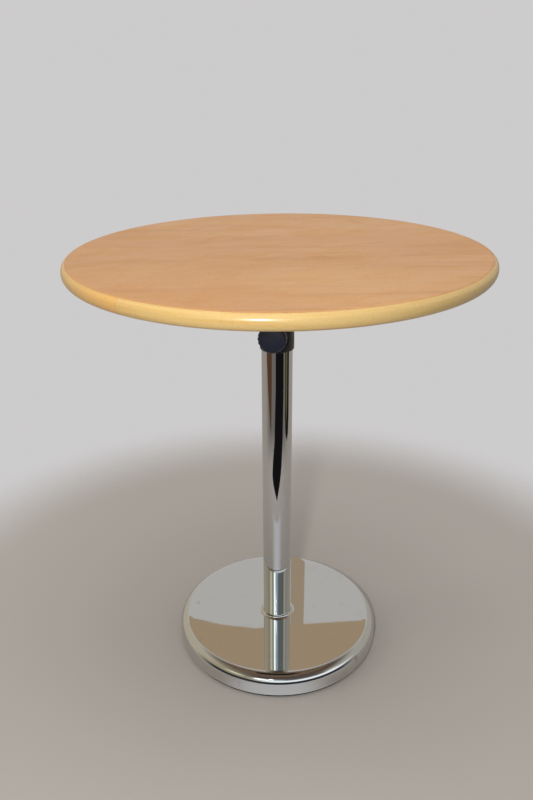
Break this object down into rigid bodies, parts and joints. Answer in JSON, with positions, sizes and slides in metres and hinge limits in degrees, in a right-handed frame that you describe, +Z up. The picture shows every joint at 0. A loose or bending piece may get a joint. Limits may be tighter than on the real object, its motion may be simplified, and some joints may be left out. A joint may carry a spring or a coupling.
{
  "type": "height-adjustable bistro table",
  "caption": "Round bistro table with a beech-look top, a telescopic chromed column with a side clamp knob, and a weighted round chromed base.",
  "frame": {"origin": "on the floor, on the column's axis, in the middle of the base", "axes": "+Z up along the column; the clamp knob points along -Y; +X to the right when facing the knob; the laminate's grain runs along X"},
  "size_m": [0.6499, 0.65, 0.73],
  "materials": {
    "beech_laminate": "satin beech-grain laminate",
    "lacquered_beech": "glossy clear lacquer on solid beech",
    "chipboard": "raw chipboard",
    "backing_sheet": "matt balancing laminate",
    "chrome_sheet": "bright chrome plate with light wear",
    "chrome_tube": "bright chrome plate",
    "inner_chrome": "bright chrome plate with sliding marks",
    "cast_weight": "rough casting with black primer",
    "zinc_steel": "zinc plated",
    "bare_steel": "bare turned steel",
    "bracket_paint": "fine black powder coat",
    "collar_plastic": "satin moulded plastic",
    "knob_plastic": "satin moulded plastic",
    "guide_plastic": "plain moulded plastic",
    "pad_plastic": "plain natural plastic",
    "rubber_black": "matt rubber"
  },
  "bodies": {
    "base": {"floor_ring": "rubber_black", "base_cover": "chrome_sheet", "base_weight": "cast_weight", "centre_bolt": "zinc_steel", "bolt_washer": "zinc_steel", "spring_washer": "zinc_steel", "foot_plug": "bare_steel", "outer_tube": "chrome_tube", "guide_bush": "guide_plastic", "collar": "collar_plastic", "clamp_nut": "zinc_steel"},
    "clamp_pad": {"clamp_pad": "pad_plastic"},
    "knob": {"knob_stud": "zinc_steel", "knob_head": "knob_plastic"},
    "guide": {"slide_ring": "guide_plastic"},
    "top": {"stop_ring": "bare_steel", "end_plug": "guide_plastic", "inner_tube": "inner_chrome", "hub_sleeve": "bracket_paint", "top_plate": "bracket_paint", "plate_gussets": "bracket_paint", "plate_screws": "zinc_steel", "backing_laminate": "backing_sheet", "top_core": "chipboard", "edge_lipping": "lacquered_beech", "top_laminate": "beech_laminate"}
  },
  "joints": [
    {"name": "height_slide", "type": "slide", "parent": "base", "child": "guide", "axis": [0, 0, 1], "range_m": [0, 0.35]},
    {"name": "top_swivel", "type": "hinge", "parent": "guide", "child": "top", "pos_m": [0, 0, 0.2], "axis": [0, 0, 1], "continuous": true},
    {"name": "clamp_travel", "type": "slide", "parent": "base", "child": "clamp_pad", "axis": [0, -1, 0], "range_m": [0, 0.00226]},
    {"name": "knob_spin", "type": "hinge", "parent": "clamp_pad", "child": "knob", "pos_m": [0, -0.05, 0.6055], "axis": [0, -1, 0], "range_deg": [0, 540]}
  ],
  "couplings": [
    {"joint": "clamp_travel", "follows": "knob_spin", "m_per_rad": 0.00023873}
  ]
}
